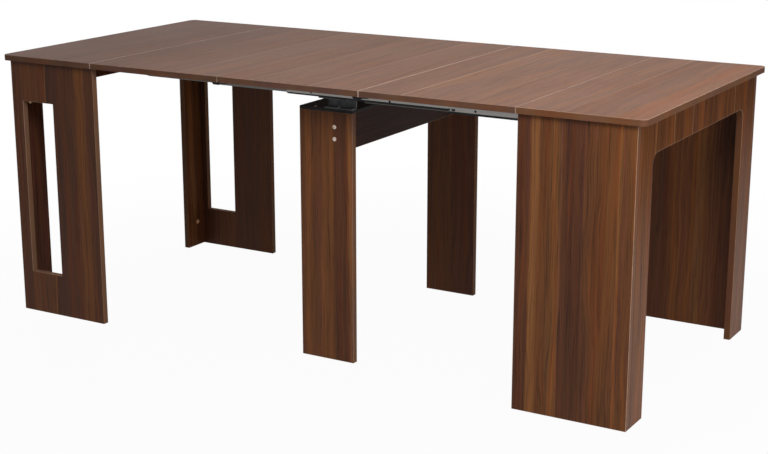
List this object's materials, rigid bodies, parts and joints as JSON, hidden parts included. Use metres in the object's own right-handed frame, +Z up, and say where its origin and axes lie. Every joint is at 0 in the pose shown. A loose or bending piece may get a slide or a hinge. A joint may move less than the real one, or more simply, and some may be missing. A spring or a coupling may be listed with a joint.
{
  "type": "extending dining table",
  "caption": "Extending dining table with a fixed arched end, a sliding windowed end, loose leaves on telescopic side slides and a travelling support frame under the middle.",
  "frame": {"origin": "on the floor under the middle of the extended table", "axes": "+X along the table from the moving end to the fixed end, +Y from the front long side to the rear one, +Z up"},
  "size_m": [1.9502, 0.9, 0.76],
  "materials": {
    "walnut_top": "satin walnut laminate, planks across the table",
    "walnut_panel": "satin walnut laminate, upright planks",
    "walnut_dark": "satin dark walnut laminate",
    "black_laminate": "matt black laminate",
    "slide_aluminium": "drawn and anodised",
    "black_steel": "black powder coat",
    "black_plastic": "moulded",
    "bright_zinc": "bright zinc",
    "yellow_zinc": "yellow passivated zinc"
  },
  "bodies": {
    "fixed_end": {"front_fixed_slide_screw_1": "bright_zinc", "front_fixed_slide_screw_2": "bright_zinc", "front_slide_1": "slide_aluminium", "rear_fixed_slide_screw_1": "bright_zinc", "rear_fixed_slide_screw_2": "bright_zinc", "rear_slide_1": "slide_aluminium", "right_end_panel": "walnut_panel", "right_end_top": "walnut_top", "right_front_lower_cam_lock": "yellow_zinc", "right_front_side_panel": "walnut_panel", "right_front_upper_cam_lock": "yellow_zinc", "right_rear_lower_cam_lock": "yellow_zinc", "right_rear_side_panel": "walnut_panel", "right_rear_upper_cam_lock": "yellow_zinc"},
    "moving_end": {"front_moving_slide_screw_1": "bright_zinc", "front_moving_slide_screw_2": "bright_zinc", "front_slide_6": "slide_aluminium", "left_end_panel": "walnut_panel", "left_end_top": "walnut_top", "left_front_lower_cam_lock": "yellow_zinc", "left_front_side_panel": "walnut_panel", "left_front_upper_cam_lock": "yellow_zinc", "left_rear_lower_cam_lock": "yellow_zinc", "left_rear_side_panel": "walnut_panel", "left_rear_upper_cam_lock": "yellow_zinc", "rear_moving_slide_screw_1": "bright_zinc", "rear_moving_slide_screw_2": "bright_zinc", "rear_slide_6": "slide_aluminium"},
    "slide_stage_1": {"front_slide_2": "slide_aluminium", "rear_slide_2": "slide_aluminium"},
    "slide_stage_2": {"front_slide_3": "slide_aluminium", "rear_slide_3": "slide_aluminium", "support_crossbar": "walnut_dark", "support_front_bracket": "black_steel", "support_front_cover_screw_1": "bright_zinc", "support_front_cover_screw_2": "bright_zinc", "support_front_leg": "walnut_panel", "support_front_lower_bolt": "bright_zinc", "support_front_upper_bolt": "bright_zinc", "support_rear_bracket": "black_steel", "support_rear_cover_screw_1": "bright_zinc", "support_rear_cover_screw_2": "bright_zinc", "support_rear_leg": "walnut_panel", "support_rear_lower_bolt": "bright_zinc", "support_rear_upper_bolt": "bright_zinc", "support_top_board": "black_laminate"},
    "slide_stage_3": {"front_slide_4": "slide_aluminium", "rear_slide_4": "slide_aluminium"},
    "slide_stage_4": {"front_slide_5": "slide_aluminium", "rear_slide_5": "slide_aluminium"},
    "loose_leaf_1": {"leaf_1": "walnut_top", "leaf_1_front_clip": "black_plastic", "leaf_1_rear_clip": "black_plastic"},
    "loose_leaf_2": {"leaf_2": "walnut_top", "leaf_2_front_clip": "black_plastic", "leaf_2_rear_clip": "black_plastic"},
    "loose_leaf_3": {"leaf_3": "walnut_top"}
  },
  "joints": [
    {"name": "extension", "type": "slide", "parent": "fixed_end", "child": "moving_end", "axis": [1, 0, 0], "range_m": [0, 1.2999]},
    {"name": "stage_1_slide", "type": "slide", "parent": "fixed_end", "child": "slide_stage_1", "axis": [1, 0, 0], "range_m": [0, 0.2447]},
    {"name": "stage_2_slide", "type": "slide", "parent": "fixed_end", "child": "slide_stage_2", "axis": [1, 0, 0], "range_m": [0, 0.4894]},
    {"name": "stage_3_slide", "type": "slide", "parent": "fixed_end", "child": "slide_stage_3", "axis": [1, 0, 0], "range_m": [0, 0.734]},
    {"name": "stage_4_slide", "type": "slide", "parent": "fixed_end", "child": "slide_stage_4", "axis": [1, 0, 0], "range_m": [0, 0.9787]},
    {"name": "leaf_1_lift", "type": "slide", "parent": "fixed_end", "child": "loose_leaf_1", "axis": [0, 0, 1], "range_m": [0, 0.338]},
    {"name": "leaf_2_lift", "type": "slide", "parent": "fixed_end", "child": "loose_leaf_2", "axis": [0, 0, 1], "range_m": [0, 0.39]},
    {"name": "leaf_3_lift", "type": "slide", "parent": "fixed_end", "child": "loose_leaf_3", "axis": [0, 0, 1], "range_m": [0, 0.442]}
  ],
  "couplings": [
    {"joint": "stage_1_slide", "follows": "extension", "ratio": 0.18821},
    {"joint": "stage_2_slide", "follows": "extension", "ratio": 0.37641},
    {"joint": "stage_3_slide", "follows": "extension", "ratio": 0.56462},
    {"joint": "stage_4_slide", "follows": "extension", "ratio": 0.75283},
    {"joint": "leaf_1_lift", "follows": "extension", "ratio": 0.26},
    {"joint": "leaf_2_lift", "follows": "extension", "ratio": 0.3},
    {"joint": "leaf_3_lift", "follows": "extension", "ratio": 0.34}
  ]
}
